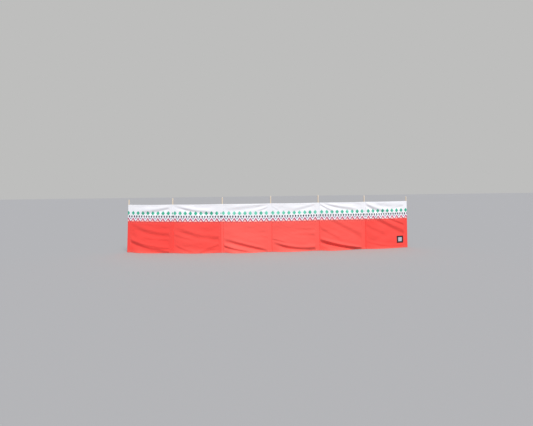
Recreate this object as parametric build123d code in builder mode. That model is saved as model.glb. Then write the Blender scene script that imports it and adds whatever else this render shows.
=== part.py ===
from build123d import *

import bisect
import math
import os

# Beach windbreak: one long printed cloth in six bays, carried by seven round wooden poles.
# X runs along the fence to the right as its printed front is seen, Y points behind it, Z is up.
# The origin is the middle of the centre pole's foot, at ground level. All sizes are millimetres.

# Poles, from ground level up, set out by hand in a gentle bow that faces the printed side
BAY_WIDTH = 1200.0
POLE_GAP_SHARES = (1.006, 1.027, 0.997, 1.0, 1.005, 0.96)
POLE_DIAMETER = 32.0
POLE_TOP_CHAMFER = 3.0
BAY_HEADINGS = (-12.0, -4.0, 0.0, 3.0, 5.0, 7.0)

# The stretched cloth pulls the poles in at their tops, the end ones the most: degrees to the right
POLE_LEANS = (3.7, 1.4, 0.7, 0.0, -0.7, -1.4, -2.1)
POLE_SHOWS_ABOVE_CLOTH = (122.0, 152.0, 162.0, 180.0, 185.0, 158.0, 115.0)

# Cloth, modelled thicker than woven polyester so that it is a sound solid
CLOTH_HEIGHT = 1200.0
CLOTH_THICKNESS = 2.0
CLOTH_OFF_GROUND = 3.0

# Pole pockets: a lap of cloth behind the panel, sewn to it along two seams, with the pole held at one end
POCKET_WIDTH = 87.0
POCKET_PLAY = 0.3
SEAM_BESIDE_POCKET = 2.0
FLANGE_WIDTH = 10.0
SEWN_GAP = 0.3

# Hems: the edge of the cloth turned to the back and sewn
HEM_WIDTH = 25.0
HEM_END_GAP = 3.0

# Drape of each bay, from the first pole to the last: how far the slack cloth stands out
TOP_BELLY = 8.0
FOOT_BELLIES = (35.0, 40.0, 30.0, 30.0, 30.0, 30.0)
FLAT_BESIDE_FLANGE = 8.0

# The surplus at the foot buckles along a crease that falls from the left pole to the right one
CREASE_STARTS = (235.0, 170.0, 320.0, 145.0, 250.0, 190.0)
CREASE_ENDS = (25.0, 60.0, 20.0, 50.0, 5.0, 40.0)
CREASE_STRENGTHS = (0.6, 0.4, 0.8, 0.7, 0.8, 0.4)
BULGE_ABOVE_CREASE = 22.0
BULGE_SPREAD = 150.0
TUCK_DEPTH = 10.0
TUCK_SPREAD = 60.0
SKIRT_SLOPE = 0.42
CREASE_FADE = 0.25

# Square label sewn on the printed side, near the foot of the last bay
LABEL_WIDTH = 185.0
LABEL_HEIGHT = 183.0
LABEL_THICKNESS = 1.6
LABEL_FROM_CLOTH_END = 127.0
LABEL_ABOVE_GROUND = 131.0

# How closely the drape is drawn: spans along a bay, and rows between the hems as shares of the height
DRAPE_SPANS = 10
ROW_SHARES = (0.065, 0.115, 0.175, 0.25, 0.37, 0.56, 0.78)

POLE_COUNT = len(POLE_SHOWS_ABOVE_CLOTH)
BAY_COUNT = POLE_COUNT - 1
MIDDLE_POLE = POLE_COUNT // 2
POLE_GAPS = [BAY_WIDTH * share for share in POLE_GAP_SHARES]
POLE_RADIUS = POLE_DIAMETER / 2
POCKET_INSIDE = POLE_RADIUS + POCKET_PLAY
POCKET_OUTSIDE = POCKET_INSIDE + CLOTH_THICKNESS
CLOTH_FRONT = POCKET_INSIDE + SEWN_GAP + CLOTH_THICKNESS

# Distances across from a pole's axis: the seam at the pole, and the far seam at the pocket's other end
NEAR_SEAM = POCKET_OUTSIDE + SEAM_BESIDE_POCKET
FAR_SEAM = POCKET_WIDTH - NEAR_SEAM
NEAR_FLANGE_END = NEAR_SEAM + FLANGE_WIDTH
FAR_FLANGE_END = FAR_SEAM + FLANGE_WIDTH
CLOTH_TOP = CLOTH_OFF_GROUND + CLOTH_HEIGHT
ROWS_BETWEEN_HEMS = [CLOTH_OFF_GROUND + CLOTH_HEIGHT * share for share in ROW_SHARES]
FOOT_HEM_ROWS = [CLOTH_OFF_GROUND, CLOTH_OFF_GROUND + HEM_WIDTH]
TOP_HEM_ROWS = [CLOTH_TOP - HEM_WIDTH, CLOTH_TOP]
ROWS = FOOT_HEM_ROWS + ROWS_BETWEEN_HEMS + TOP_HEM_ROWS


def turned(heading):
    """The unit vector along the fence at a heading in degrees, and the one that points behind it."""
    angle = math.radians(heading)
    along = Vector(math.cos(angle), math.sin(angle), 0)
    behind = Vector(-math.sin(angle), math.cos(angle), 0)
    return along, behind


def pole_feet():
    """The foot of every pole, walked gap by gap and then moved so that the middle one is the origin."""
    feet = [Vector(0, 0, 0)]
    for gap, heading in zip(POLE_GAPS, BAY_HEADINGS):
        feet.append(feet[-1] + turned(heading)[0] * gap)
    return [foot - feet[MIDDLE_POLE] for foot in feet]


def pole_heading(pole):
    """A pocket faces midway between the bays on its two sides."""
    beside = BAY_HEADINGS[max(pole - 1, 0) : pole + 1]
    return sum(beside) / len(beside)


FEET = pole_feet()
HEADINGS = [pole_heading(pole) for pole in range(POLE_COUNT)]


def pole_plane(pole):
    """A plane at the foot of a pole: X along the fence, Z up the leaning pole."""
    along, behind = turned(HEADINGS[pole])
    lean = math.radians(POLE_LEANS[pole])
    up = along * math.sin(lean) + Vector(0, 0, math.cos(lean))
    return Plane(origin=FEET[pole], x_dir=behind.cross(up), z_dir=up)


def beside_pole(pole, across, height, depth):
    """A point of the cloth where it lies flat on a pocket.

    It is at a distance across from the pole's axis, and at a depth behind the printed face."""
    along, behind = turned(HEADINGS[pole])
    drift = height * math.tan(math.radians(POLE_LEANS[pole]))
    on_axis = FEET[pole] + along * drift + Vector(0, 0, height)
    return on_axis + along * across + behind * (depth - CLOTH_FRONT)


def smooth_step(value):
    """0 before 0, 1 after 1, and a smooth rise between them."""
    value = min(max(value, 0.0), 1.0)
    return value * value * (3 - 2 * value)


def drape(bay, share, height):
    """How far the cloth stands out towards the front, at a share of the way along its bay."""
    height_share = (height - CLOTH_OFF_GROUND) / CLOTH_HEIGHT
    belly = TOP_BELLY + (FOOT_BELLIES[bay] - TOP_BELLY) * (1 - height_share) ** 2
    hump = 16 * (share * (1 - share)) ** 2
    crease = CREASE_STARTS[bay] + (CREASE_ENDS[bay] - CREASE_STARTS[bay]) * share
    above = height - crease
    bulge = BULGE_ABOVE_CREASE * math.exp(-(((above - BULGE_SPREAD) / BULGE_SPREAD) ** 2))
    tuck = TUCK_DEPTH * math.exp(-((above / TUCK_SPREAD) ** 2))
    skirt = SKIRT_SLOPE * (math.hypot(above, TUCK_SPREAD) - above) / 2
    fade = smooth_step(share / CREASE_FADE) * smooth_step((1 - share) / CREASE_FADE)
    return belly * hump + (bulge - tuck + skirt) * fade * CREASE_STRENGTHS[bay]


def sewn_right(pole):
    """How far from its axis a pole's pocket is sewn to the bay on its right.

    The first pole's pocket reaches into the bay on its right, and all others reach to the left."""
    return FAR_FLANGE_END if pole == 0 else NEAR_FLANGE_END


def in_bay(bay, share, height, depth):
    """A point of the draped cloth between two pockets, at a depth behind its printed face.

    It follows a cubic curve that leaves both pockets squarely, plus the drape."""
    start = beside_pole(bay, sewn_right(bay) + FLAT_BESIDE_FLANGE, height, depth)
    end = beside_pole(bay + 1, -FAR_FLANGE_END - FLAT_BESIDE_FLANGE, height, depth)
    span = (end - start).length
    leave = turned(HEADINGS[bay])[0] * span
    arrive = turned(HEADINGS[bay + 1])[0] * span
    on_curve = (
        start * (2 * share**3 - 3 * share**2 + 1)
        + leave * (share**3 - 2 * share**2 + share)
        + end * (3 * share**2 - 2 * share**3)
        + arrive * (share**3 - share**2)
    )
    return on_curve - turned(BAY_HEADINGS[bay])[1] * drape(bay, share, height)


def flat(point):
    """The plan position of a point, for a sketch on a level plane."""
    return point.X, point.Y


def cloth_outline(bay, height, depth, start_from_pole, end_from_pole):
    """One face of the cloth in plan: flat on the left pocket, draped, and flat on the right pocket.

    It starts and ends at distances across from the two poles' axes. Its points lie closest together
    beside the pockets, where it leaves the flat."""
    turns = [math.pi * step / DRAPE_SPANS for step in range(DRAPE_SPANS + 1)]
    points = [flat(in_bay(bay, (1 - math.cos(turn)) / 2, height, depth)) for turn in turns]
    Line(flat(beside_pole(bay, start_from_pole, height, depth)), points[0])
    Spline(*points)
    Line(points[-1], flat(beside_pole(bay + 1, end_from_pole, height, depth)))


def cloth_layer(bay, rows, depth, thickness, start_from_pole, end_from_pole):
    """A layer of cloth in one bay at a depth behind the printed face, lofted up its outlines.

    It is ruled from row to row, so layers that share their rows run parallel."""
    with BuildPart() as layer:
        for height in rows:
            with BuildSketch(Plane.XY.offset(height)):
                with BuildLine():
                    for face_depth in (depth, depth + thickness):
                        cloth_outline(bay, height, face_depth, start_from_pole, end_from_pole)
                    for pole, across in ((bay, start_from_pole), (bay + 1, end_from_pole)):
                        front = beside_pole(pole, across, height, depth)
                        back = beside_pole(pole, across, height, depth + thickness)
                        Line(flat(front), flat(back))
                make_face()
        loft(ruled=True)
    return layer.part


def make_pole(pole):
    """A round dowel with a chamfered top, sawn level where it enters the ground."""
    length = (CLOTH_TOP + POLE_SHOWS_ABOVE_CLOTH[pole]) / math.cos(math.radians(POLE_LEANS[pole]))
    below = POLE_DIAMETER
    with BuildPart() as dowel:
        with BuildSketch(pole_plane(pole).offset(-below)):
            Circle(POLE_RADIUS)
        extrude(amount=length + below)
        top = dowel.faces().sort_by(Axis.Z)[-1]
        chamfer(top.edges(), POLE_TOP_CHAMFER)
        split(bisect_by=Plane.XY, keep=Keep.TOP)
    return dowel.part


def make_pocket(pole):
    """The lap of cloth behind a pole, traced along its middle line in a sketch across the pole.

    It lies flat on the panel at the far seam, rises to the pole, turns round it and comes down at the
    near seam. An end pocket is the panel's own end folded back, so it has no flange at the near seam."""
    away = 1 if pole == 0 else -1
    level = CLOTH_THICKNESS / 2 - POCKET_INSIDE
    bend = POCKET_INSIDE + CLOTH_THICKNESS / 2
    rise = math.atan2(-level, FAR_SEAM) + math.asin(bend / math.hypot(FAR_SEAM, level))
    touch = (away * bend * math.sin(rise), bend * math.cos(rise))
    turn_start = 0 if away < 0 else 90 - math.degrees(rise)
    with BuildPart() as pocket:
        with BuildSketch(pole_plane(pole).offset(-CLOTH_HEIGHT / 4)):
            with BuildLine():
                Polyline((away * FAR_FLANGE_END, level), (away * FAR_SEAM, level), touch)
                CenterArc((0, 0), bend, turn_start, 90 + math.degrees(rise))
                Line((-away * bend, 0), (-away * bend, -POCKET_INSIDE))
                if 0 < pole < BAY_COUNT:
                    Line((-away * bend, level), (-away * NEAR_FLANGE_END, level))
            trace(line_width=CLOTH_THICKNESS)
        extrude(amount=CLOTH_HEIGHT * 1.5)
        split(bisect_by=Plane.XY.offset(CLOTH_OFF_GROUND), keep=Keep.TOP)
        split(bisect_by=Plane.XY.offset(CLOTH_TOP), keep=Keep.BOTTOM)
    return pocket.part


def make_panel(bay):
    """The cloth of one bay, from the near seam of one pocket to that of the next.

    The cloth's two ends reach to the outsides of the end poles."""
    start = -POCKET_OUTSIDE if bay == 0 else NEAR_SEAM
    end = POCKET_OUTSIDE if bay == BAY_COUNT - 1 else NEAR_SEAM
    return cloth_layer(bay, ROWS, 0, CLOTH_THICKNESS, start, end)


def between_pockets(bay, rows, depth, thickness):
    """A layer of cloth that reaches from one pocket's seam to the next."""
    start = sewn_right(bay) + HEM_END_GAP
    end = -FAR_FLANGE_END - HEM_END_GAP
    return cloth_layer(bay, rows, depth, thickness, start, end)


def make_hem(bay, rows):
    """An edge of the cloth turned to the back of the panel."""
    return between_pockets(bay, rows, CLOTH_THICKNESS + SEWN_GAP, CLOTH_THICKNESS)


def make_label():
    """The sewn label: a square cut from a layer that lies on the front of the last bay."""
    bay = BAY_COUNT - 1
    low, high = LABEL_ABOVE_GROUND, LABEL_ABOVE_GROUND + LABEL_HEIGHT
    rows = ROWS[bisect.bisect(ROWS, low) - 1 : bisect.bisect(ROWS, high) + 1]
    layer = between_pockets(bay, rows, -SEWN_GAP - LABEL_THICKNESS, LABEL_THICKNESS)
    along, behind = turned(BAY_HEADINGS[bay])
    middle = FEET[bay + 1] + along * (POCKET_OUTSIDE - LABEL_FROM_CLOTH_END - LABEL_WIDTH / 2)
    middle += Vector(0, 0, (low + high) / 2)
    with BuildPart() as label:
        add(layer)
        with BuildSketch(Plane(origin=middle, x_dir=along, z_dir=-behind)):
            Rectangle(LABEL_WIDTH, LABEL_HEIGHT)
        extrude(amount=BAY_WIDTH / 2, both=True, mode=Mode.INTERSECT)
    return label.part


pieces = {}
for pole in range(POLE_COUNT):
    pieces[f"pole_{pole + 1}"] = make_pole(pole)
    pieces[f"pocket_{pole + 1}"] = make_pocket(pole)
for bay in range(BAY_COUNT):
    pieces[f"panel_{bay + 1}"] = make_panel(bay)
    pieces[f"top_hem_{bay + 1}"] = make_hem(bay, TOP_HEM_ROWS)
    pieces[f"foot_hem_{bay + 1}"] = make_hem(bay, FOOT_HEM_ROWS)
pieces["sewn_label"] = make_label()

os.makedirs("parts", exist_ok=True)
for name, piece in pieces.items():
    piece.label = name
    export_step(piece, f"parts/{name}.step")
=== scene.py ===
import math

import bpy
import numpy as np
from mathutils import Matrix


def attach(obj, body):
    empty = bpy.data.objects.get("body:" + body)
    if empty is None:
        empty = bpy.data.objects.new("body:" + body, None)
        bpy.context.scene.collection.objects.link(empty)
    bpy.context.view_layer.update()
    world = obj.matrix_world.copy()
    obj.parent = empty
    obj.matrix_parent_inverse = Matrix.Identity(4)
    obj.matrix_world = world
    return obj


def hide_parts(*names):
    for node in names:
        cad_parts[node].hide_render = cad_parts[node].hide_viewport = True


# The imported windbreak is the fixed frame, in metres: X runs along the fence to the right as its printed
# front is seen, Y points behind it and Z up, from the middle of the centre pole's foot.
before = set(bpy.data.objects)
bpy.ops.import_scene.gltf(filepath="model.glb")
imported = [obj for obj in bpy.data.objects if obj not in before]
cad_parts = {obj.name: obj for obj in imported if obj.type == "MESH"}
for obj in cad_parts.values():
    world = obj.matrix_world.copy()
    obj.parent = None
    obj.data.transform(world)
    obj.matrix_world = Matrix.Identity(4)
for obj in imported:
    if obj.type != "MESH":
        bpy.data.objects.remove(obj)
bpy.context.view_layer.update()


# Poles: seven pine dowels, chamfered at the top and pushed into the ground along a gentle bow.
# The stretched cloth pulls them in towards the middle. Their shape is the frame's own, and what is
# added here is the wood: rings about a heart off the dowel's middle, fine grain and weathering.
POLE_GAPS = 1.2 * np.array([1.006, 1.027, 0.997, 1.0, 1.005, 0.96])
BAY_HEADINGS = np.radians([-12.0, -4.0, 0.0, 3.0, 5.0, 7.0])
BAY_COUNT = len(POLE_GAPS)
POLE_COUNT = BAY_COUNT + 1
LAST_BAY = BAY_COUNT - 1
LAST_POLE = POLE_COUNT - 1
MIDDLE_POLE = POLE_COUNT // 2
POLE_LEANS = np.radians([3.7, 1.4, 0.7, 0.0, -0.7, -1.4, -2.1])
POLE_HEADINGS = [np.mean(BAY_HEADINGS[max(pole - 1, 0) : pole + 1]) for pole in range(POLE_COUNT)]


def turned(heading):
    """The level unit vector along the fence at a heading, and the one that points behind it."""
    sine, cosine, none = np.sin(heading), np.cos(heading), np.zeros_like(heading)
    return np.stack([cosine, sine, none], -1), np.stack([-sine, cosine, none], -1)


def pole_feet():
    """The foot of every pole: the sum of the gaps before it, less the middle pole's."""
    steps = turned(BAY_HEADINGS)[0] * POLE_GAPS[:, None]
    feet = np.vstack([np.zeros(3), np.cumsum(steps, axis=0)])
    return feet - feet[MIDDLE_POLE]


POLE_FEET = pole_feet()


class Shade:
    """One output of a shader node. Arithmetic on it adds Math nodes to the same material."""

    def __init__(self, tree, socket=None):
        self.tree = tree
        self.socket = socket

    def node(self, kind, settings=None, sockets=None, output=0):
        """Adds a node of a kind, with its settings first and then the values or links of its sockets."""
        made = self.tree.nodes.new("ShaderNode" + kind)
        for name, value in (settings or {}).items():
            setattr(made, name, value)
        for name, value in (sockets or {}).items():
            if isinstance(value, Shade):
                self.tree.links.new(value.socket, made.inputs[name])
            else:
                made.inputs[name].default_value = value
        return Shade(self.tree, made.outputs[output])

    def math(self, operation, first, second=0.0, clamp=False):
        settings = {"operation": operation, "use_clamp": clamp}
        return self.node("Math", settings, {0: first, 1: second})

    def __add__(self, other):
        return self.math("ADD", self, other)

    def __radd__(self, other):
        return self.math("ADD", other, self)

    def __sub__(self, other):
        return self.math("SUBTRACT", self, other)

    def __rsub__(self, other):
        return self.math("SUBTRACT", other, self)

    def __mul__(self, other):
        return self.math("MULTIPLY", self, other)

    def __rmul__(self, other):
        return self.math("MULTIPLY", other, self)

    def __truediv__(self, other):
        return self.math("DIVIDE", self, other)

    def __pow__(self, power):
        return self.math("POWER", self, power)

    def __abs__(self):
        return self.math("ABSOLUTE", self)

    def clamp(self):
        return self.math("ADD", self, 0.0, clamp=True)

    def least(self, other):
        return self.math("MINIMUM", self, other)

    def sine(self):
        return self.math("SINE", self)

    def fraction(self):
        return self.math("FRACT", self)

    def over(self, edge, blur):
        """0 below an edge and 1 above it, with a straight ramp as wide as the blur."""
        return ((self - edge) / blur + 0.5).clamp()

    def under(self, edge, blur):
        """1 below an edge and 0 above it, with the same ramp."""
        return ((edge - self) / blur + 0.5).clamp()

    def mix(self, first, second):
        """The first colour where this is 0, and the second where it is 1."""
        settings = {"data_type": "RGBA"}
        return self.node("Mix", settings, {0: self, 6: first, 7: second}, output=2)

    def parts(self):
        """The three parts of a vector."""
        split = self.node("SeparateXYZ", None, {0: self})
        outputs = split.socket.node.outputs
        return [Shade(self.tree, outputs[axis]) for axis in "XYZ"]

    def show(self, surface, kind):
        """Links a finished surface to the output node of its material or world."""
        output = self.tree.nodes.new("ShaderNode" + kind)
        self.tree.links.new(surface.socket, output.inputs["Surface"])

    def noise(self, x, y, z, detail=2.0, roughness=0.5):
        """Smooth noise from 0 to 1 at a point given by three numbers, one unit to each lump."""
        point = self.node("CombineXYZ", None, {0: x, 1: y, 2: z})
        sockets = {"Vector": point, "Scale": 1.0, "Detail": detail, "Roughness": roughness}
        return self.node("TexNoise", {"noise_dimensions": "3D"}, sockets)


def new_finish(name):
    """A material with no nodes yet, and the maker of its nodes."""
    material = bpy.data.materials.new(name)
    material.use_nodes = True
    material.node_tree.nodes.clear()
    return material, Shade(material.node_tree)


def close_finish(paint, tone, roughness, bump_height, bump_depth, **plain):
    """Ends a material: a Principled surface with what varies over it, a bump whose depth is in metres,
    and the plain values of its other sockets."""
    bump = paint.node("Bump", None, {"Strength": 1.0, "Distance": bump_depth, "Height": bump_height})
    sockets = {"Base Color": tone, "Roughness": roughness, "Normal": bump}
    sockets.update({name.replace("_", " "): value for name, value in plain.items()})
    paint.show(paint.node("BsdfPrincipled", None, sockets), "OutputMaterial")


def colour(red, green, blue):
    """A colour written as it shows on a screen, 0 to 255, as the shader's own linear numbers."""
    screen = np.array([red, green, blue]) / 255
    linear = np.where(screen <= 0.04045, screen / 12.92, ((screen + 0.055) / 1.055) ** 2.4)
    return (*linear.tolist(), 1.0)


HEART_OFF_AXIS = 0.009
HEART_TURN = 2.4
RING_PITCH = 0.0022
RING_WANDER = 0.0035


def pine(pole):
    """The wood of one pole: rings by the distance from a leaning heart, and noise drawn out along it."""
    material, paint = new_finish(f"pine_{pole + 1}")
    x, y, z = paint.node("TexCoord", None, None, "Object").parts()
    lean = turned(POLE_HEADINGS[pole])[0] * math.tan(POLE_LEANS[pole])
    heart_x = POLE_FEET[pole][0] + HEART_OFF_AXIS * math.cos(HEART_TURN * pole)
    heart_y = POLE_FEET[pole][1] + HEART_OFF_AXIS * math.sin(HEART_TURN * pole)
    across = x - z * float(lean[0]) - heart_x
    behind = y - z * float(lean[1]) - heart_y
    wander = paint.noise(across * 40, behind * 40, z * 2.5 + pole, detail=3.0)
    ring_radius = (across * across + behind * behind) ** 0.5 + wander * RING_WANDER
    rings = (ring_radius * (2 * math.pi / RING_PITCH)).sine() * 0.5 + 0.5
    streaks = paint.noise(across * 420, behind * 420, z * 9 + pole, detail=4.0)
    pores = paint.noise(across * 1600, behind * 1600, z * 40, detail=1.0).over(0.63, 0.08)
    blotch = paint.noise(across * 30, behind * 30, z * 5 + 3 * pole, detail=2.0)
    fresh = (rings * 0.55 + streaks * 0.45).mix(colour(240, 226, 202), colour(220, 198, 168))
    grained = (pores * 0.5).mix(fresh, colour(176, 150, 122))
    sunned = (blotch.over(0.5, 0.5) * 0.4).mix(grained, colour(222, 216, 206))
    handled = (z.over(1.30, 0.2) * 0.22).mix(sunned, colour(240, 230, 214))
    roughness = 0.55 + streaks * 0.25
    height = rings * 0.35 + streaks * 0.5 - pores * 0.4
    close_finish(paint, handled, roughness, height, 0.0004, Specular_IOR_Level=0.35)
    return material


for pole in range(POLE_COUNT):
    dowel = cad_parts[f"pole_{pole + 1}"]
    dowel.data.materials.clear()
    dowel.data.materials.append(pine(pole))


# Printed cloth: light woven polyester, a length to each bay, sewn to the poles' pockets and left slack.
# It bellies out between the poles, hangs in swags from their tops, and its surplus buckles at the foot
# above a flared skirt. The print is on the front alone and shows faintly through on the back.
CLOTH_LOW = 0.003
CLOTH_HEIGHT = 1.2
SHEET = 0.001

# How far the cloth's face, the pockets' sides and the seams lie from a pole's axis. At an inner pole the
# near seam is on its right and the far one on its left, and beyond each the pocket ends in a flange.
CLOTH_FRONT = 0.0186
POCKET_SIDE = 0.0183
NEAR_SEAM = 0.0203
FAR_SEAM = 0.0667
FLANGE = 0.010
FLAT_BESIDE_FLANGE = 0.008
NEAR_STITCH = NEAR_SEAM + 0.003
FAR_STITCH = FAR_SEAM + FLANGE / 2
HEM_STITCH = 0.022
PUCKER_REACH = 0.014

# How far the cloth is drawn back along the seams beside a pole, and how wide each of these dips is
FAR_DIP = 0.0012
FAR_DIP_WIDTH = 0.030
GROOVE_DEPTH = 0.012
GROOVE_WIDTH = 0.0072

# The main form of each bay, from the first to the last: its belly, and the crease above its skirt
TOP_BELLY = 0.008
FOOT_BELLIES = (0.035, 0.040, 0.030, 0.030, 0.030, 0.030)
CREASE_STARTS = (0.235, 0.170, 0.320, 0.145, 0.250, 0.190)
CREASE_ENDS = (0.025, 0.060, 0.020, 0.050, 0.005, 0.040)
CREASE_STRENGTHS = (0.6, 0.4, 0.8, 0.7, 0.8, 0.4)
BULGE_ABOVE_CREASE = 0.022
BULGE_SPREAD = 0.15
TUCK_DEPTH = 0.010
TUCK_SPREAD = 0.060
SKIRT_SLOPE = 0.42
CREASE_FADE = 0.25
TOP_SAG = 0.004

# Folds of each bay: three points of each one's line, as shares along the bay and heights, then how far
# it stands out above the line and in below it, and its widths at its first and its last point
FOLDS = (
    (
        ((1.06, 1.165), (0.59, 1.047), (0.18, 1.005), 0.0086, 0.034, 0.085),
        ((0.04, 0.725), (0.50, 0.520), (1.25, 0.520), 0.0092, 0.068, 0.090),
        ((0.30, 0.380), (0.70, 0.340), (1.06, 0.320), 0.0030, 0.044, 0.050),
        ((-0.25, 0.502), (0.32, 0.180), (1.06, 0.066), 0.0155, 0.066, 0.074),
        ((0.20, 0.262), (0.60, 0.170), (1.20, 0.085), 0.0036, 0.030, 0.036),
        ((0.22, 0.090), (0.60, 0.040), (1.20, 0.036), 0.0060, 0.038, 0.038),
    ),
    (
        ((0.00, 1.175), (0.30, 1.078), (0.92, 0.990), 0.0096, 0.034, 0.070),
        ((-0.02, 0.665), (0.50, 0.440), (1.25, 0.400), 0.0092, 0.066, 0.084),
        ((-0.05, 0.480), (0.17, 0.402), (0.50, 0.310), 0.0042, 0.045, 0.055),
        ((0.50, 0.010), (0.79, 0.135), (1.04, 0.250), 0.0066, 0.050, 0.055),
        ((0.40, 0.000), (0.72, 0.060), (1.02, 0.142), 0.0040, 0.036, 0.036),
        ((0.00, 0.225), (0.23, 0.099), (0.50, 0.015), 0.0055, 0.040, 0.045),
    ),
    (
        ((0.98, 1.178), (0.61, 1.130), (0.00, 1.060), 0.0072, 0.034, 0.090),
        ((1.01, 1.160), (0.90, 1.095), (0.70, 1.020), 0.0050, 0.026, 0.040),
        ((-0.05, 0.352), (0.42, 0.195), (1.04, 0.010), 0.0196, 0.060, 0.050),
        ((-0.20, 0.252), (0.22, 0.106), (0.66, 0.010), 0.0165, 0.046, 0.038),
        ((0.50, 0.515), (0.78, 0.512), (1.04, 0.500), 0.0021, 0.045, 0.050),
        ((0.54, 0.392), (0.80, 0.386), (1.04, 0.376), 0.0021, 0.040, 0.045),
    ),
    (
        ((1.00, 1.178), (0.72, 1.098), (0.40, 1.010), 0.0054, 0.034, 0.065),
        ((-0.01, 1.160), (0.06, 1.100), (0.18, 1.020), 0.0024, 0.024, 0.034),
        ((-0.05, 0.350), (0.12, 0.292), (0.36, 0.220), 0.0042, 0.030, 0.034),
        ((0.00, 0.250), (0.42, 0.104), (1.12, 0.096), 0.0215, 0.042, 0.068),
        ((0.48, 0.567), (0.78, 0.552), (1.04, 0.545), 0.0026, 0.040, 0.045),
        ((0.44, 0.434), (0.76, 0.420), (1.04, 0.412), 0.0034, 0.045, 0.050),
    ),
    (
        ((-0.01, 1.185), (0.12, 1.098), (0.33, 0.965), 0.0068, 0.024, 0.038),
        ((0.08, 1.180), (0.40, 1.096), (0.90, 1.005), 0.0090, 0.030, 0.065),
        ((-0.03, 0.605), (0.20, 0.454), (0.52, 0.240), 0.0055, 0.045, 0.060),
        ((0.16, 0.825), (0.60, 0.566), (1.06, 0.270), 0.0076, 0.058, 0.088),
        ((-0.10, 0.305), (0.35, 0.150), (1.04, 0.018), 0.0400, 0.062, 0.036),
        ((0.06, 0.150), (0.40, 0.056), (0.90, 0.000), 0.0080, 0.026, 0.030),
    ),
    (
        ((-0.06, 1.205), (0.16, 1.065), (0.60, 0.950), 0.0122, 0.030, 0.090),
        ((1.02, 1.140), (0.86, 1.085), (0.55, 1.000), 0.0028, 0.034, 0.050),
        ((0.14, 1.150), (0.55, 1.108), (1.03, 1.104), 0.0070, 0.070, 0.075),
        ((-0.03, 0.640), (0.22, 0.500), (0.55, 0.335), 0.0052, 0.055, 0.070),
        ((0.10, 0.870), (0.60, 0.584), (1.20, 0.270), 0.0136, 0.060, 0.095),
        ((0.46, 0.815), (0.80, 0.662), (1.20, 0.500), 0.0080, 0.036, 0.050),
        ((-0.03, 0.210), (0.35, 0.093), (1.04, 0.058), 0.0060, 0.038, 0.050),
    ),
)

# How much of a fold's length it takes to rise and to fade, and the peak of the curve across it
FOLD_FADE = 0.3
FOLD_PEAK = 0.4289

# Folds and ripples start this far before the free cloth, and reach their full height over this distance
FIRST_LOOSE = 0.02
LOOSENING = 0.05

# Ripples all over the cloth, long and short: their height, the longest of them, and their first seed
LONG_RIPPLES = (0.0030, 0.42, 10)
SHORT_RIPPLES = (0.0008, 0.11, 30)

# Where each bay's cloth was creased upright when it was packed, as a share along it, and how high that is
PACKING_CREASES = (
    (0.50, 0.0008), (0.50, 0.0008), (0.48, 0.0022),
    (0.53, 0.0022), (0.49, 0.0010), (0.50, 0.0010),
)
PACKING_CREASE_WIDTH = 0.004


def smooth_step(value):
    """0 before 0, 1 after 1, and 3 v squared less 2 v cubed between them."""
    value = np.clip(value, 0, 1)
    return value * value * (3 - 2 * value)


def drape(bay, share, height):
    """The main form: a belly that grows as the square of the depth below the top, times a hump across the
    bay, plus a round bulge above a slanting crease, less a tuck on it, plus a skirt that flares below."""
    below_top = 1 - (height - CLOTH_LOW) / CLOTH_HEIGHT
    belly = TOP_BELLY + (FOOT_BELLIES[bay] - TOP_BELLY) * below_top**2
    hump = 16 * (share * (1 - share)) ** 2
    above = height - CREASE_STARTS[bay] - (CREASE_ENDS[bay] - CREASE_STARTS[bay]) * share
    bulge = BULGE_ABOVE_CREASE * np.exp(-(((above - BULGE_SPREAD) / BULGE_SPREAD) ** 2))
    tuck = TUCK_DEPTH * np.exp(-((above / TUCK_SPREAD) ** 2))
    skirt = SKIRT_SLOPE * (np.hypot(above, TUCK_SPREAD) - above) / 2
    fade = smooth_step(share / CREASE_FADE) * smooth_step((1 - share) / CREASE_FADE)
    return belly * hump + (bulge - tuck + skirt) * fade * CREASE_STRENGTHS[bay]


def fold(bay, share, height, first, middle, last, size, *widths):
    """A fold along the parabola through three points. Across it the cloth stands out by t times e to the
    minus t squared over its peak, where t is the distance above the line over the width there. It fades
    out at both ends, and its width grows evenly from one to the other."""
    line = np.polyfit(*zip(first, middle, last), 2)
    slope = np.polyval(np.polyder(line), share) / POLE_GAPS[bay]
    way = (share - first[0]) / (last[0] - first[0])
    width = widths[0] + (widths[1] - widths[0]) * np.clip(way, 0, 1)
    above = (height - np.polyval(line, share)) / np.sqrt(1 + slope**2) / width
    fade = smooth_step(way / FOLD_FADE) * smooth_step((1 - way) / FOLD_FADE)
    return size / FOLD_PEAK * above * np.exp(-(above**2)) * fade


def ripples(along, height, seed, longest, count=28):
    """Small uneven waves: a sum of sines at random slants, each as high as it is long."""
    draws = np.random.default_rng(seed)
    total = np.zeros_like(along)
    for _ in range(count):
        length = longest * draws.uniform(0.25, 1.0)
        slant = draws.normal(0.0, 0.5) + math.pi / 2
        phase = draws.uniform(0, 2 * math.pi)
        across = along * math.cos(slant) + height * math.sin(slant)
        total += length * np.sin(2 * math.pi * across / length + phase)
    return total / (longest * math.sqrt(count))


def seam_dip(pole, across):
    """How far the cloth is drawn back beside a pole: a bell at each seam, and at an end pole the turn of
    the cloth round the pocket, which falls away as a circle does."""
    away = -1.0 if pole == 0 else 1.0
    far = FAR_DIP * np.exp(-(((across * away + FAR_SEAM) / FAR_DIP_WIDTH) ** 2))
    if 0 < pole < LAST_POLE:
        return far + GROOVE_DEPTH * np.exp(-(((across - NEAR_SEAM) / GROOVE_WIDTH) ** 2))
    side = np.clip(across * away, 0, POCKET_SIDE)
    return far + CLOTH_FRONT - CLOTH_FRONT * np.sqrt(1 - (side / POCKET_SIDE) ** 2)


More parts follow.
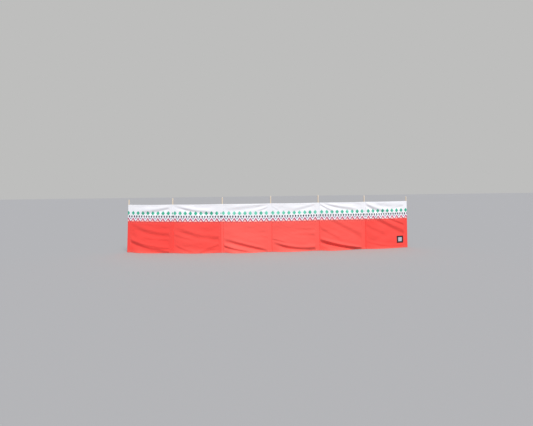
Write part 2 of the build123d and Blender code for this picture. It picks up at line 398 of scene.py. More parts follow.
def beside_pole(pole, across, height, depth):
    """Points that lie flat on a pocket, across from the pole's leaning axis and behind the printed face."""
    along, behind = turned(POLE_HEADINGS[pole])
    drift = across + height * math.tan(POLE_LEANS[pole])
    level = POLE_FEET[pole] + drift[..., None] * along + (depth - CLOTH_FRONT)[..., None] * behind
    level[..., 2] = height
    return level


def bay_span(bay, height):
    """The distance between the axes of a bay's two poles at a height."""
    drifts = np.tan(POLE_LEANS[bay + 1]) - np.tan(POLE_LEANS[bay])
    return POLE_GAPS[bay] + height * drifts


def cloth_points(bay, along, height, depth):
    """Points of a bay's cloth, metres along from its left pole's axis, at a depth behind the printed face.

    They follow a cubic curve from one pocket's flat to the next, stand out from it by the drape, the
    folds and the ripples, and are drawn back at the seams."""
    span = bay_span(bay, height)
    start = (FAR_SEAM if bay == 0 else NEAR_SEAM) + FLANGE + FLAT_BESIDE_FLANGE
    end = FAR_SEAM + FLANGE + FLAT_BESIDE_FLANGE
    free = span - start - end
    share = np.clip((along - start) / free, 0, 1)
    first = beside_pole(bay, np.full_like(along, start), height, depth)
    last = beside_pole(bay + 1, np.full_like(along, -end), height, depth)
    reach = np.linalg.norm(last - first, axis=-1)[..., None]
    leave = turned(POLE_HEADINGS[bay])[0]
    arrive = turned(POLE_HEADINGS[bay + 1])[0]
    s = share[..., None]
    points = first * (2 * s**3 - 3 * s**2 + 1) + last * (3 * s**2 - 2 * s**3)
    points += reach * (leave * (s**3 - 2 * s**2 + s) + arrive * (s**3 - s**2))
    points += np.minimum(along - start, 0)[..., None] * leave
    points += np.maximum(along - span + end, 0)[..., None] * arrive

    bay_share = along / span
    loose = smooth_step((along - start + FIRST_LOOSE) / LOOSENING)
    loose = loose * smooth_step((span - end + FIRST_LOOSE - along) / LOOSENING)
    proud = drape(bay, share, height)
    for shape in FOLDS[bay]:
        proud += loose * fold(bay, bay_share, height, *shape)
    for rippled, longest, seed in (LONG_RIPPLES, SHORT_RIPPLES):
        proud += loose * rippled * ripples(along, height, seed + bay, longest)
    crease_share, crease_height = PACKING_CREASES[bay]
    proud += crease_height * np.exp(-np.abs(bay_share - crease_share) * span / PACKING_CREASE_WIDTH)
    proud -= seam_dip(bay, along) + seam_dip(bay + 1, along - span)
    heading = np.interp(share, [0, 0.5, 1], [POLE_HEADINGS[bay], BAY_HEADINGS[bay], POLE_HEADINGS[bay + 1]])
    return points - proud[..., None] * turned(heading)[1]


def panel_ends(bay, height):
    """Where a bay's cloth starts and ends, in metres from its left pole's axis."""
    start = -POCKET_SIDE if bay == 0 else NEAR_SEAM
    end = bay_span(bay, height) + (POCKET_SIDE if bay == LAST_BAY else NEAR_SEAM)
    return start, end


def cloth_grid(bay, share, rise, depth):
    """Points of a bay's cloth at shares of the way across it and up it, and their flat places.

    The top edge sags as a parabola. A flat place counts the print's own pitches along, and the height on
    the cloth as it was sewn: the print starts afresh in each bay, a little higher to the left."""
    share, rise = np.broadcast_arrays(share, rise)
    sag = TOP_SAG * 4 * share * (1 - share)
    height = CLOTH_LOW + rise * (CLOTH_HEIGHT - sag)
    start, end = panel_ends(bay, height)
    along = start + share * (end - start)
    points = cloth_points(bay, along, height, np.broadcast_to(depth, along.shape))
    span = bay_span(bay, height)
    if bay == 0:
        printed = print_place(bay, along - turned_end(-along))
    elif bay == LAST_BAY:
        printed = print_place(bay, along + turned_end(along - span))
    else:
        printed = print_place(bay, along)
    if bay < LAST_BAY:
        past_cut = share > print_cut(bay)
        printed = np.where(past_cut, print_place(bay + 1, along - span), printed)
    lift = np.interp(bay + along / span, range(POLE_COUNT), PRINT_LIFTS)
    return points, np.stack([printed, rise * CLOTH_HEIGHT - lift], -1)


def turned_end(past):
    """How much longer the cloth round an end pole is, as an arc, than its distance past the axis."""
    side = np.clip(past, 0, POCKET_SIDE)
    return CLOTH_FRONT * np.arcsin(side / POCKET_SIDE) - side


def print_place(bay, along):
    """A distance from a bay's left pole, as the distance along the print from a lozenge's middle."""
    return (along - FIRST_LOZENGES[bay]) / BAY_PITCHES[bay] * PRINT_PITCH


def print_cut(bay):
    """The share of the way across a bay's cloth where its own print ends and the next one's begins."""
    start, end = panel_ends(bay, 0.0)
    return 1 - (NEAR_SEAM - PRINT_CUTS[bay]) / (end - start)


def near_stitching(bay, share, rise):
    """1 on a bay's lines of stitching, and less as a bell a few centimetres away from them."""
    start, end = panel_ends(bay, CLOTH_LOW + rise * CLOTH_HEIGHT)
    along = start + share * (end - start)
    first, last = seam_stitching(bay, CLOTH_LOW + rise * CLOTH_HEIGHT)
    seam = np.minimum(np.abs(along - first), np.abs(along - last))
    hem = np.abs((0.5 - np.abs(rise - 0.5)) * CLOTH_HEIGHT - HEM_STITCH)
    return np.exp(-((np.minimum(seam, hem) / PUCKER_REACH) ** 2))


def seam_stitching(bay, height):
    """Where a bay's two upright rows of stitches run, in metres from its left pole's axis."""
    return (FAR_STITCH if bay == 0 else NEAR_STITCH), bay_span(bay, height) - FAR_STITCH


SHARP_FROM = math.radians(50)


def shell(name, front, back, flat, reverse, painted_light=0.5, sewn=0.0):
    """A closed sheet between two grids of points, rows by columns, whose front faces out.

    Flat gives each grid point's place on the flat cloth, in metres. Reverse is how much of the cloth's
    reverse shows on the front and on the back grid. Painted light is how pale the colours are painted at
    each grid point, a painted light and shade, and sewn how close it is to stitching."""
    rows, columns = front.shape[:2]
    points = np.concatenate([front.reshape(-1, 3), back.reshape(-1, 3)])
    below = rows * columns
    index = np.arange(below).reshape(rows, columns)
    corners = (index[:-1, :-1], index[:-1, 1:], index[1:, 1:], index[1:, :-1])
    outer = np.stack(corners, -1).reshape(-1, 4)
    rim = np.concatenate([index[0, :], index[1:, -1], index[-1, -2::-1], index[-2:0:-1, 0]])
    next_rim = np.roll(rim, -1)
    edge = np.stack([next_rim, rim, rim + below, next_rim + below], -1)
    faces = np.concatenate([outer, outer[:, ::-1] + below, edge])
    mesh = bpy.data.meshes.new(name)
    mesh.from_pydata(points.tolist(), [], faces.tolist())
    layer = mesh.uv_layers.new(name="flat")
    place = np.concatenate([flat.reshape(-1, 2)] * 2)
    layer.data.foreach_set("uv", place[faces.ravel()].astype(np.float32).ravel())
    marks = {
        "reverse": np.repeat(reverse, below),
        "painted_light": np.tile(np.broadcast_to(painted_light, (rows, columns)).ravel(), 2),
        "sewn": np.tile(np.broadcast_to(sewn, (rows, columns)).ravel(), 2),
    }
    for mark, values in marks.items():
        layer = mesh.attributes.new(mark, "FLOAT", "POINT")
        layer.data.foreach_set("value", values.astype(np.float32))
    mesh.shade_smooth()
    mesh.set_sharp_from_angle(angle=SHARP_FROM)
    piece = bpy.data.objects.new(name, mesh)
    bpy.context.scene.collection.objects.link(piece)
    return piece


# Print on the cloth: a band of lozenges, pairs of dots, small hooks and rose chevrons on white, and then
# the coral field. Each bay was cut and sewn on its own, so its first lozenge stands where the cut came.
PRINT_PITCH = 0.131

# In each bay, how far from its left pole a lozenge has its middle, and how far apart the lozenges are
FIRST_LOZENGES = (-0.002, 0.059, 0.027, 0.050, 0.083, 0.099)
BAY_PITCHES = (0.1326, 0.1284, 0.1313, 0.1322, 0.1309, 0.1275)

# At each pole, how much higher than usual the print lies on the cloth
PRINT_LIFTS = (0.029, 0.019, 0.009, -0.002, 0.002, -0.003, 0.003)

# How far past the axis of each inner pole one bay's print ends and the next one's begins
PRINT_CUTS = (0.010, -0.026, -0.010, 0.0155, 0.000)
CUT_WIDTH = 0.0002

# How far each motif lies below the cloth's top edge, and half of its width and its height
LOZENGES_BELOW = 0.232
LOZENGE_HALVES = (0.046, 0.055)
LOZENGE_HEART_HALVES = (0.012, 0.015)
DOTS_BELOW = 0.314
DOT_HALVES = (0.0180, 0.0250)
HOOKS_BELOW = 0.381
HOOK_SLOPE = 1.35
HOOK_HALF_STROKE = 0.0115
HOOK_REACH = 0.034
HOOK_FOOT = 0.392
CHEVRONS_BELOW = 0.365
CHEVRON_SLOPE = 1.45
CHEVRON_HALF_STROKE = 0.0185
CHEVRON_FLAT_TOP = 0.349
CHEVRON_FOOT = 0.443
CORAL_BELOW = 0.439
PEACH_HALVES = (0.030, 0.044)

# How soft the print's edges are and how far they wander, and how far apart the cloth's threads lie
EDGE_BLUR = 0.003
WOBBLE = 0.003
THREAD_PITCH = 0.0011


def printed_polyester(name):
    """The cloth's finish, drawn from its flat place: each motif is a distance from its middle, cut off at
    its edge. Where the reverse shows, the print is pale. The bump is a plain weave and small creases."""
    material, paint = new_finish(name)
    u, v, _ = paint.node("UVMap", {"uv_map": "flat"}).parts()
    reverse = paint.node("Attribute", {"attribute_name": "reverse"}, None, "Fac")
    # How pale the bay's colours are painted, as painted light and shade
    painted_light = paint.node("Attribute", {"attribute_name": "painted_light"}, None, "Fac")
    sewn = paint.node("Attribute", {"attribute_name": "sewn"}, None, "Fac")
    wobble = paint.noise(u * 60, v * 60, 0.0, detail=1.0) - 0.5
    x = ((u + wobble * WOBBLE) / PRINT_PITCH + 20.5).fraction() * PRINT_PITCH
    beside = abs(x - PRINT_PITCH / 2)
    from_gap = PRINT_PITCH / 2 - beside
    below = CLOTH_HEIGHT - v + wobble * WOBBLE

    def diamond(aside, middle, halves, blur):
        """1 where the two distances, each over its half, add up to less than one."""
        return (aside / halves[0] + abs(below - middle) / halves[1]).under(1.0, blur)

    lozenge = diamond(beside, LOZENGES_BELOW, LOZENGE_HALVES, 0.10)
    # The lozenges turn from teal to mint with noise and with the bay's painted light: painted light and
    # sheen on the print
    tone = (paint.noise(u * 5.0, v * 2.0, 4.0, detail=1.0) + painted_light * 0.35).over(0.74, 0.24)
    teal = tone.mix(colour(62, 178, 146), colour(128, 222, 196))
    white = colour(242, 243, 247)
    painted = lozenge.mix(white, teal)
    heart = diamond(beside, LOZENGES_BELOW, LOZENGE_HEART_HALVES, 0.15)
    painted = (heart * 0.35).mix(painted, colour(30, 128, 108))

    dot_beside = abs(beside - PRINT_PITCH / 4) / DOT_HALVES[0]
    dot_below = (below - DOTS_BELOW) / DOT_HALVES[1]
    dot = (dot_beside * dot_beside + dot_below * dot_below).under(1.0, 0.25)
    painted = dot.mix(painted, colour(40, 30, 50))

    hook_line = abs(below - HOOKS_BELOW + from_gap * HOOK_SLOPE)
    hook = hook_line.under(HOOK_HALF_STROKE, EDGE_BLUR) * from_gap.under(HOOK_REACH, 0.004)
    hook = hook * below.under(HOOK_FOOT, EDGE_BLUR)
    painted = (hook * 0.92).mix(painted, colour(84, 106, 124))

    leg_line = abs(below - CHEVRONS_BELOW - beside * CHEVRON_SLOPE)
    leg_reach = x.over(PRINT_PITCH / 2, 0.01) * 0.005 + CHEVRON_HALF_STROKE
    leg = leg_line.under(leg_reach, EDGE_BLUR) * below.over(CHEVRON_FLAT_TOP, EDGE_BLUR)
    leg = leg * below.under(CHEVRON_FOOT, EDGE_BLUR)
    plum = below.over(0.412, 0.05).mix(colour(194, 52, 110), colour(176, 36, 56))
    painted = leg.mix(painted, plum)
    peach_above = (CORAL_BELOW + 0.001 - below) / PEACH_HALVES[1]
    peach = (beside / PEACH_HALVES[0] + peach_above).under(1.0, 0.12)
    peach = peach * below.under(CORAL_BELOW + 0.002, EDGE_BLUR)
    painted = peach.mix(painted, colour(254, 188, 174))

    # The coral is painted paler or darker in each bay: painted light and shade
    coral = painted_light.mix(colour(248, 64, 57), colour(253, 101, 92))
    field = (below + from_gap.under(0.012, 0.006) * -0.002).over(CORAL_BELOW, EDGE_BLUR)
    mark = diamond(abs(beside - PRINT_PITCH / 4), CORAL_BELOW + 0.037, (0.012, 0.018), 0.2)
    fleck = diamond(beside, CORAL_BELOW + 0.027, (0.013, 0.016), 0.2)
    spark = diamond(from_gap, CORAL_BELOW + 0.021, (0.013, 0.015), 0.2)
    field_colour = (mark * 0.5).mix(coral, colour(255, 126, 118))
    field_colour = (fleck * 0.8).mix(field_colour, colour(166, 60, 56))
    field_colour = (spark * 0.8).mix(field_colour, colour(176, 60, 66))
    painted = field.mix(painted, field_colour)

    sunned = paint.noise(u * 1.7, v * 1.7, 9.0, detail=3.0).over(0.5, 0.6)
    washed = (field * sunned * 0.05).mix(painted, colour(252, 150, 140))
    dust = (v.under(0.02, 0.10) * paint.noise(u * 14, v * 30, 2.0, detail=4.0)).clamp()
    dusted = (dust * 0.22).mix(washed, colour(196, 170, 138))
    shows = (reverse * 0.36).mix(dusted, white)

    warp = (u * (2 * math.pi / THREAD_PITCH)).sine()
    weft = (v * (2 * math.pi / THREAD_PITCH)).sine()
    weave = warp * weft
    creases = paint.noise(u * 26, v * 26, 1.0, detail=4.0, roughness=0.6)
    puckers = paint.noise(u * 110, v * 110, 7.0, detail=2.0) * sewn
    height = weave * 0.05 + creases * 1.4 + puckers * 1.6
    roughness = 0.78 + creases * 0.12 + dust * 0.05
    close_finish(
        paint, shows, roughness, height, 0.0012,
        Specular_IOR_Level=0.25, Sheen_Weight=0.08, Sheen_Roughness=0.45,
    )
    return material


PRINTED_CLOTH = printed_polyester("printed_cloth")


# The rows of each bay's grid, and its columns: even ones in the middle, and closer ones beside its poles
PANEL_ROWS = 132
MIDDLE_COLUMNS = 104
CLOSE_COLUMNS = 28
CLOSE_REACH = 0.14
CLOSING = 1.5


def panel_columns(bay):
    """Shares of the cloth's width where its columns stand, closest together beside the poles and on
    both sides of the print's cut."""
    start, end = panel_ends(bay, 0.0)
    beside = CLOSE_REACH / (end - start) * np.linspace(0, 1, CLOSE_COLUMNS + 1)[:-1] ** CLOSING
    middle = np.linspace(CLOSE_REACH, end - start - CLOSE_REACH, MIDDLE_COLUMNS) / (end - start)
    columns = np.concatenate([beside, middle, 1 - beside[::-1]])
    if bay == LAST_BAY:
        return columns
    cut = print_cut(bay)
    half = CUT_WIDTH / 2 / (end - start)
    columns = columns[np.abs(columns - cut) > 5 * half]
    return np.sort(np.append(columns, [cut - half, cut + half]))


# How pale each bay's colours are painted: painted light and shade, palest in the middle bays and darker
# towards both ends
BAY_PAINTED_LIGHT = (0.2, 0.34, 0.82, 0.74, 0.54, 0.28)
for bay in range(BAY_COUNT):
    columns = panel_columns(bay)
    rise = np.linspace(0, 1, PANEL_ROWS)[:, None]
    front, flat = cloth_grid(bay, columns, rise, 0.0)
    back, flat = cloth_grid(bay, columns, rise, SHEET)
    sewn = near_stitching(bay, *np.broadcast_arrays(columns, rise))
    painted_light = np.full(len(columns), BAY_PAINTED_LIGHT[bay])
    if bay < LAST_BAY:
        painted_light[columns > print_cut(bay)] = BAY_PAINTED_LIGHT[bay + 1]
    panel = shell(f"printed_panel_{bay + 1}", front, back, flat, (0.0, 1.0), painted_light, sewn)
    panel.data.materials.append(PRINTED_CLOTH)
    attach(panel, "root")
    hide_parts(f"panel_{bay + 1}")


# Hems: the top and foot edges of each bay, turned to the back and stitched, so that they show the print's
# face behind. Each lies on its panel from one pocket to the next, with a round fold at the very edge.
HEM_WIDTH = 0.025
HEM_THICKNESS = 0.0014
HEM_END_GAP = 0.003
HEM_COLUMNS = 120
SEWN_GAP = 0.0003

# Where a hem's rows run, as shares of its width from the edge of the cloth, and how thick it is there
HEM_ROWS = (0.0, 0.02, 0.06, 0.15, 0.4, 0.7, 0.95, 1.0)
HEM_FULLNESS = (0.3, 0.75, 1.0, 1.0, 1.0, 1.0, 1.0, 0.6)


def hem_on(bay, name, edge, inner):
    """A hem between two shares of the cloth's height: its edge is the cloth's, and is rounded."""
    start, end = panel_ends(bay, 0.0)
    low = (FAR_SEAM if bay == 0 else NEAR_SEAM) + FLANGE + HEM_END_GAP - start
    high = POLE_GAPS[bay] - FAR_SEAM - FLANGE - HEM_END_GAP - start
    share = np.linspace(low, high, HEM_COLUMNS) / (end - start)
    thickness = HEM_THICKNESS * np.array(HEM_FULLNESS)[:, None]
    rise = edge + (inner - edge) * np.array(HEM_ROWS)[:, None]
    if inner < edge:
        rise, thickness = rise[::-1], thickness[::-1]
    near, flat = cloth_grid(bay, share, rise, SHEET + SEWN_GAP)
    far, flat = cloth_grid(bay, share, rise, SHEET + SEWN_GAP + thickness)
    sewn = near_stitching(bay, *np.broadcast_arrays(share, rise))
    hem = shell(f"{name}_{bay + 1}", near, far, flat, (1.0, 0.0), BAY_PAINTED_LIGHT[bay], sewn)
    hem.data.materials.append(PRINTED_CLOTH)
    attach(hem, "root")
    return hem


top_hems = []
foot_hems = []
for bay in range(BAY_COUNT):
    top_hems.append(hem_on(bay, "turned_top_hem", 1.0, 1.0 - HEM_WIDTH / CLOTH_HEIGHT))
    foot_hems.append(hem_on(bay, "turned_foot_hem", 0.0, HEM_WIDTH / CLOTH_HEIGHT))
    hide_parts(f"top_hem_{bay + 1}")
    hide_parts(f"foot_hem_{bay + 1}")


# Pockets: the lap of cloth behind each pole, sewn along a seam close beside the pole and another one
# 87 mm away. Inner laps show the cloth's reverse. The two end ones are the cloth's own end, turned round
# the pole, so they show the print's face and have no seam beside the pole.
POCKET_RADIUS = 0.0164
END_POCKET_RADIUS = 0.0173
POCKET_ROWS = 64
POCKET_STEPS = 52
FLANGE_POINTS = 5
RISE_POINTS = 12
TURN_POINTS = 24

# How far a pocket stands off its outline between its seams, and how much thicker its hemmed ends are
POCKET_SLACK = 0.0012
SLACK_FROM = 0.012
SLACK_UNTIL = 0.03
SLACK_RAMP = 0.02
RIPPLE_LENGTH = 0.16
RIPPLES_CLOSER = 3
RIPPLE_SEED = 40
HEMMED_SHARE = 0.02
HEMMED_MORE = 0.8


def lap_outline(pole):
    """The inner face of a pocket in plan: flat on the panel, straight up to the pole, round the back of it
    as a circle, and down to the near seam. Gives distances across and behind, their normals, and how far
    along the outline they lie."""
    inner = 0 < pole < LAST_POLE
    radius = POCKET_RADIUS if inner else END_POCKET_RADIUS
    side = pole if inner else LAST_POLE

    def on_panel(across):
        return np.stack([across, seam_dip(side, across) - CLOTH_FRONT + SHEET + SEWN_GAP], -1)

    flange = on_panel(np.linspace(-FAR_SEAM - FLANGE, -FAR_SEAM, FLANGE_POINTS))
    seam = flange[-1]
    touch = math.atan2(seam[1], seam[0]) + 2 * math.pi - math.acos(radius / np.hypot(*seam))
    turn = np.linspace(touch, 0, TURN_POINTS)
    arc = radius * np.stack([np.cos(turn), np.sin(turn)], -1)
    stretch = np.linspace(0, 1, RISE_POINTS + 2)[1:-1, None]
    rise = seam + (arc[0] - seam) * stretch
    pieces = [flange, rise, arc]
    if inner:
        pieces.append(on_panel(np.linspace(NEAR_SEAM, NEAR_SEAM + FLANGE, FLANGE_POINTS)))
    path = np.concatenate(pieces)
    reach = np.concatenate([[0], np.cumsum(np.hypot(*np.diff(path, axis=0).T))])
    even = np.linspace(0, reach[-1], POCKET_STEPS)
    path = np.stack([np.interp(even, reach, path[:, 0]), np.interp(even, reach, path[:, 1])], -1)
    tangent = np.gradient(path, axis=0)
    tangent /= np.linalg.norm(tangent, axis=1)[:, None]
    normal = np.stack([-tangent[:, 1], tangent[:, 0]], -1)
    if pole == 0:
        path, normal = path[::-1] * (-1, 1), normal[::-1] * (-1, 1)
    return path, normal, even


def pocket_face(pole, path, height):
    """Points behind a pole's leaning axis, from distances across and behind, up a grid of heights."""
    along, behind = turned(POLE_HEADINGS[pole])
    drift = path[..., 0] + height * math.tan(POLE_LEANS[pole])
    points = POLE_FEET[pole] + drift[..., None] * along + path[..., 1:2] * behind
    points[..., 2] = height
    return points


pockets = []
for pole in range(POLE_COUNT):
    path, normal, reach = lap_outline(pole)
    rise = np.linspace(0, 1, POCKET_ROWS)[:, None]
    height = np.broadcast_to(CLOTH_LOW + CLOTH_HEIGHT * rise, (POCKET_ROWS, POCKET_STEPS))
    held = smooth_step((reach - SLACK_FROM) / SLACK_RAMP)
    held = held * smooth_step((reach[-1] - SLACK_UNTIL - reach) / SLACK_RAMP)
    across = np.broadcast_to(reach * RIPPLES_CLOSER, height.shape)
    slack = POCKET_SLACK * held * (1 + ripples(across, height, RIPPLE_SEED + pole, RIPPLE_LENGTH))
    hemmed = 1 + HEMMED_MORE * (np.abs(rise - 0.5) > 0.5 - HEMMED_SHARE)
    inside = path + normal * slack[..., None]
    outside = inside + normal * (SHEET * hemmed)[..., None]
    bay = min(pole, LAST_BAY)
    cloth_end = POCKET_SIDE + turned_end(POCKET_SIDE)
    if pole == 0:
        on_cloth = -cloth_end - reach
    elif pole == LAST_POLE:
        on_cloth = bay_span(bay, height) + cloth_end + reach[-1] - reach
    else:
        on_cloth = reach - FAR_SEAM
    printed = np.broadcast_to(print_place(bay, on_cloth), height.shape)
    flat = np.stack([printed, height - CLOTH_LOW - PRINT_LIFTS[pole]], -1)
    faces = [pocket_face(pole, face, height)[:, ::-1] for face in (outside, inside)]
    reverse = (1.0, 0.0) if 0 < pole < LAST_POLE else (0.0, 1.0)
    pocket = shell(f"pole_pocket_{pole + 1}", *faces, flat[:, ::-1], reverse, BAY_PAINTED_LIGHT[bay])
    pocket.data.materials.append(PRINTED_CLOTH)
    pockets.append(pocket)
    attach(pocket, "root")
    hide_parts(f"pocket_{pole + 1}")


# Label: a square black woven patch with a merrowed edge, sewn on the face of the last bay. Its field is
# left plain pale grey.
LABEL_WIDTH = 0.185
LABEL_HEIGHT = 0.183
LABEL_FROM_CLOTH_END = 0.127
LABEL_ABOVE_GROUND = 0.131
LABEL_POINTS = 40

# Its thickness, what share of that is left at its very edge, and how far in it has its full thickness
LABEL_THICKNESS = 0.0016
LABEL_THIN_EDGE = 0.35
LABEL_ROUNDING = 0.004

# Its black border's width, and the sizes of the twill and of the cord that is sewn round it
LABEL_BORDER = 0.040
TWILL_PITCH = 0.0016
CORD_WIDTH = 0.005
CORD_WRAP = 0.0022


def woven_patch():
    """The label's finish: twill ribs at a slant, a cord of thread round the edge and a plain field."""
    material, paint = new_finish("woven_patch")
    x, y, _ = paint.node("UVMap", {"uv_map": "flat"}).parts()
    from_edge = (LABEL_WIDTH / 2 - abs(x)).least(LABEL_HEIGHT / 2 - abs(y))
    twill = ((x + y) * (2 * math.pi / TWILL_PITCH)).sine()
    mottle = paint.noise(x * 90, y * 90, 0.0, detail=3.0)
    black = mottle.mix(colour(8, 8, 9), colour(24, 22, 25))
    field = from_edge.over(LABEL_BORDER, 0.001)
    grey = mottle.mix(colour(168, 166, 178), colour(204, 202, 210))
    woven = field.mix(black, grey)
    line = abs(from_edge - LABEL_BORDER * 0.72).under(0.0008, 0.0005)
    framed = (line * 0.7).mix(woven, colour(196, 196, 200))
    cord = from_edge.under(CORD_WIDTH, 0.001)
    wraps = ((x + y * 1.02) * (2 * math.pi / CORD_WRAP)).sine()
    edged = (cord * 0.6).mix(framed, colour(24, 22, 26))
    height = cord * (wraps * 0.5 + 1.0) + twill * 0.2 + field * 0.2
    close_finish(paint, edged, 0.7 + mottle * 0.15, height, 0.0004, Specular_IOR_Level=0.3)
    return material


start, end = panel_ends(LAST_BAY, 0.0)
right = end - LABEL_FROM_CLOTH_END - start
label_share = np.linspace(right - LABEL_WIDTH, right, LABEL_POINTS) / (end - start)
label_low = (LABEL_ABOVE_GROUND - CLOTH_LOW) / CLOTH_HEIGHT
label_high = label_low + LABEL_HEIGHT / CLOTH_HEIGHT
label_rise = np.linspace(label_low, label_high, LABEL_POINTS)[:, None]
label_x = np.linspace(-LABEL_WIDTH / 2, LABEL_WIDTH / 2, LABEL_POINTS)
label_y = np.linspace(-LABEL_HEIGHT / 2, LABEL_HEIGHT / 2, LABEL_POINTS)[:, None]
inset = np.minimum(LABEL_WIDTH / 2 - np.abs(label_x), LABEL_HEIGHT / 2 - np.abs(label_y))
full = LABEL_THIN_EDGE + (1 - LABEL_THIN_EDGE) * smooth_step(inset / LABEL_ROUNDING)
proud = SEWN_GAP + LABEL_THICKNESS * full
front, flat = cloth_grid(LAST_BAY, label_share, label_rise, -proud)
back, flat = cloth_grid(LAST_BAY, label_share, label_rise, -SEWN_GAP)
flat = np.stack(np.broadcast_arrays(label_x, label_y), -1)
label = shell("woven_label", front, back, flat, (0.0, 1.0))
label.data.materials.append(woven_patch())
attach(label, "root")
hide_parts("sewn_label")


# Stitching: rows of lockstitch in a pale twisted thread, along both hems and both seams of each bay, seen
# in front and behind. Each stitch is a small bead half sunk in the cloth, and a bay's rows are one piece.
STITCH_PITCH = 0.0062
STITCH_LENGTH = 0.0044
STITCH_WIDTH = 0.0007
STITCH_HEIGHT = 0.0007


def stitch_row(bay, along, height, depth, upright):
    """The six corners of each stitch of a row: one end, its sides, front and back halfway, and the other
    end. The sides change places in a level row, so that its faces point outwards too."""

    def corner(forward, aside, behind):
        across, up = (aside, forward) if upright else (forward, aside)
        return cloth_points(bay, along + across, height + up, np.full_like(along, depth + behind))

    half, high = STITCH_LENGTH / 2, STITCH_HEIGHT / 2
    side = STITCH_WIDTH / 2 if upright else -STITCH_WIDTH / 2
    corners = [
        corner(-half, 0, 0),
        corner(0, side, 0), corner(0, 0, -high), corner(0, -side, 0), corner(0, 0, high),
        corner(half, 0, 0),
    ]
    return np.stack(corners, 1)


def bay_stitches(bay):
    """Every stitch of a bay: its seams' rows from foot to top, then its hems' rows along."""
    front = -STITCH_HEIGHT / 4
    on_flange = SHEET + SEWN_GAP + SHEET + STITCH_HEIGHT / 4
    on_hem = SHEET + SEWN_GAP + HEM_THICKNESS + STITCH_HEIGHT / 4
    rows = []
    height = np.arange(CLOTH_LOW + STITCH_PITCH, CLOTH_LOW + CLOTH_HEIGHT - STITCH_PITCH, STITCH_PITCH)
    for along in seam_stitching(bay, height):
        for depth in (front, on_flange):
            rows.append(stitch_row(bay, np.broadcast_to(along, height.shape), height, depth, True))
    for rise in (HEM_STITCH / CLOTH_HEIGHT, 1 - HEM_STITCH / CLOTH_HEIGHT):
        start, end = panel_ends(bay, CLOTH_LOW + rise * CLOTH_HEIGHT)
        first, last = seam_stitching(bay, CLOTH_LOW + rise * CLOTH_HEIGHT)
        for depth, low, high in ((front, start, end), (on_hem, first + FLANGE, last - FLANGE)):
            along = np.arange(low + STITCH_PITCH, high - STITCH_PITCH, STITCH_PITCH)
            share = (along - start) / (end - start)
            height = CLOTH_LOW + rise * (CLOTH_HEIGHT - TOP_SAG * 4 * share * (1 - share))
            rows.append(stitch_row(bay, along, height, depth, False))
    return np.concatenate(rows)


def twisted_thread():
    """The thread's finish: off-white polyester, a little uneven, with its own slight gloss."""
    material, paint = new_finish("twisted_thread")
    x, y, z = paint.node("TexCoord", None, None, "Object").parts()
    uneven = paint.noise(x * 300, y * 300, z * 300, detail=1.0)
    tone = uneven.mix(colour(218, 188, 184), colour(232, 208, 204))
    close_finish(paint, tone, 0.5 + uneven * 0.2, uneven, 0.0002, Specular_IOR_Level=0.4)
    return material


THREAD = twisted_thread()
STITCH_CORNERS = 6
STITCH_FACES = np.array([
    (0, 1, 2), (0, 2, 3), (0, 3, 4), (0, 4, 1),
    (5, 2, 1), (5, 3, 2), (5, 4, 3), (5, 1, 4),
])
stitching = []
for bay in range(BAY_COUNT):
    corners = bay_stitches(bay)
    first_corners = STITCH_CORNERS * np.arange(len(corners))[:, None, None]
    faces = (first_corners + STITCH_FACES).reshape(-1, 3)
    mesh = bpy.data.meshes.new(f"stitching_{bay + 1}")
    mesh.from_pydata(corners.reshape(-1, 3).tolist(), [], faces.tolist())
    mesh.shade_smooth()
    mesh.materials.append(THREAD)
    rows = bpy.data.objects.new(f"stitching_{bay + 1}", mesh)
    bpy.context.scene.collection.objects.link(rows)
    stitching.append(rows)
    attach(rows, "root")


# Sheets: each bay's cloth is a little wider than the gap that its two poles stand apart, which leaves it
# slack. Its hems, pocket and stitching are gathered into a list, and the last bay's list holds the last
# pocket and the label too.
for bay in range(BAY_COUNT):
    sewn_on = [top_hems[bay], foot_hems[bay], pockets[bay], stitching[bay]]
    if bay == LAST_BAY:
        sewn_on += [pockets[LAST_POLE], label]


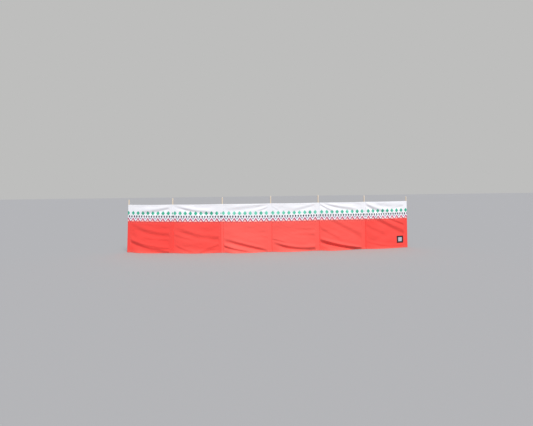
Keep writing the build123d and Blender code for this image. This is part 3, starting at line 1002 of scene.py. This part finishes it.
# Studio: a plain pale floor, soft daylight from high in front and to the right, and even light all round.
# The background is the floor's own tone.
FLOOR_REACH = 60.0
floor_corners = [(x * FLOOR_REACH, y * FLOOR_REACH, 0) for x, y in ((-1, -1), (1, -1), (1, 1), (-1, 1))]
floor_mesh = bpy.data.meshes.new("studio_floor")
floor_mesh.from_pydata(floor_corners, [], [(0, 1, 2, 3)])
floor = bpy.data.objects.new("studio_floor", floor_mesh)
bpy.context.scene.collection.objects.link(floor)
floor_material, paint = new_finish("studio_floor")
floor_shade = paint.node(
    "BsdfPrincipled", None,
    {"Base Color": colour(164, 164, 163), "Roughness": 0.9, "Specular IOR Level": 0.1},
)
paint.show(floor_shade, "OutputMaterial")
floor_mesh.materials.append(floor_material)

SKY_LIGHT = (0.395, 0.425, 0.56, 1.0)
world = bpy.data.worlds.new("studio")
world.use_nodes = True
world.node_tree.nodes.clear()
sky = Shade(world.node_tree)
seen = sky.node("LightPath", None, None, "Is Camera Ray")
backdrop = seen.mix(SKY_LIGHT, colour(190, 190, 189))
sky.show(sky.node("Background", None, {"Color": backdrop, "Strength": 1.0}), "OutputWorld")
bpy.context.scene.world = world

SUN_FROM_OVERHEAD = math.radians(36)
SUN_TO_THE_RIGHT = math.radians(14)
sun_data = bpy.data.lights.new("softbox", "SUN")
sun_data.energy = 3.25
sun_data.color = (1.0, 0.972, 0.885)
sun_data.angle = math.radians(30)
sun = bpy.data.objects.new("softbox", sun_data)
sun.rotation_euler = (SUN_FROM_OVERHEAD, 0, SUN_TO_THE_RIGHT)
bpy.context.scene.collection.objects.link(sun)

# Camera: where the photograph was taken from, by a fit to the poles' tops and the cloth's edges. It looks
# a little down and to the right, and is turned a little on its own axis.
CAMERA_PLACE = (-0.479, -9.223, 1.5895)
CAMERA_YAW = math.radians(2.329)
CAMERA_PITCH = math.radians(-3.859)
CAMERA_ROLL = math.radians(-0.694)
CAMERA_LENS = 25.42
SENSOR_WIDTH = 36.0
camera_data = bpy.data.cameras.new("camera")
camera_data.sensor_width = SENSOR_WIDTH
camera_data.lens = CAMERA_LENS
camera = bpy.data.objects.new("camera", camera_data)
facing = Matrix.Rotation(-CAMERA_YAW, 4, "Z") @ Matrix.Rotation(math.pi / 2 + CAMERA_PITCH, 4, "X")
camera.matrix_world = Matrix.Translation(CAMERA_PLACE) @ facing @ Matrix.Rotation(CAMERA_ROLL, 4, "Z")
bpy.context.scene.collection.objects.link(camera)
bpy.context.scene.camera = camera
bpy.context.scene.view_settings.view_transform = "Standard"
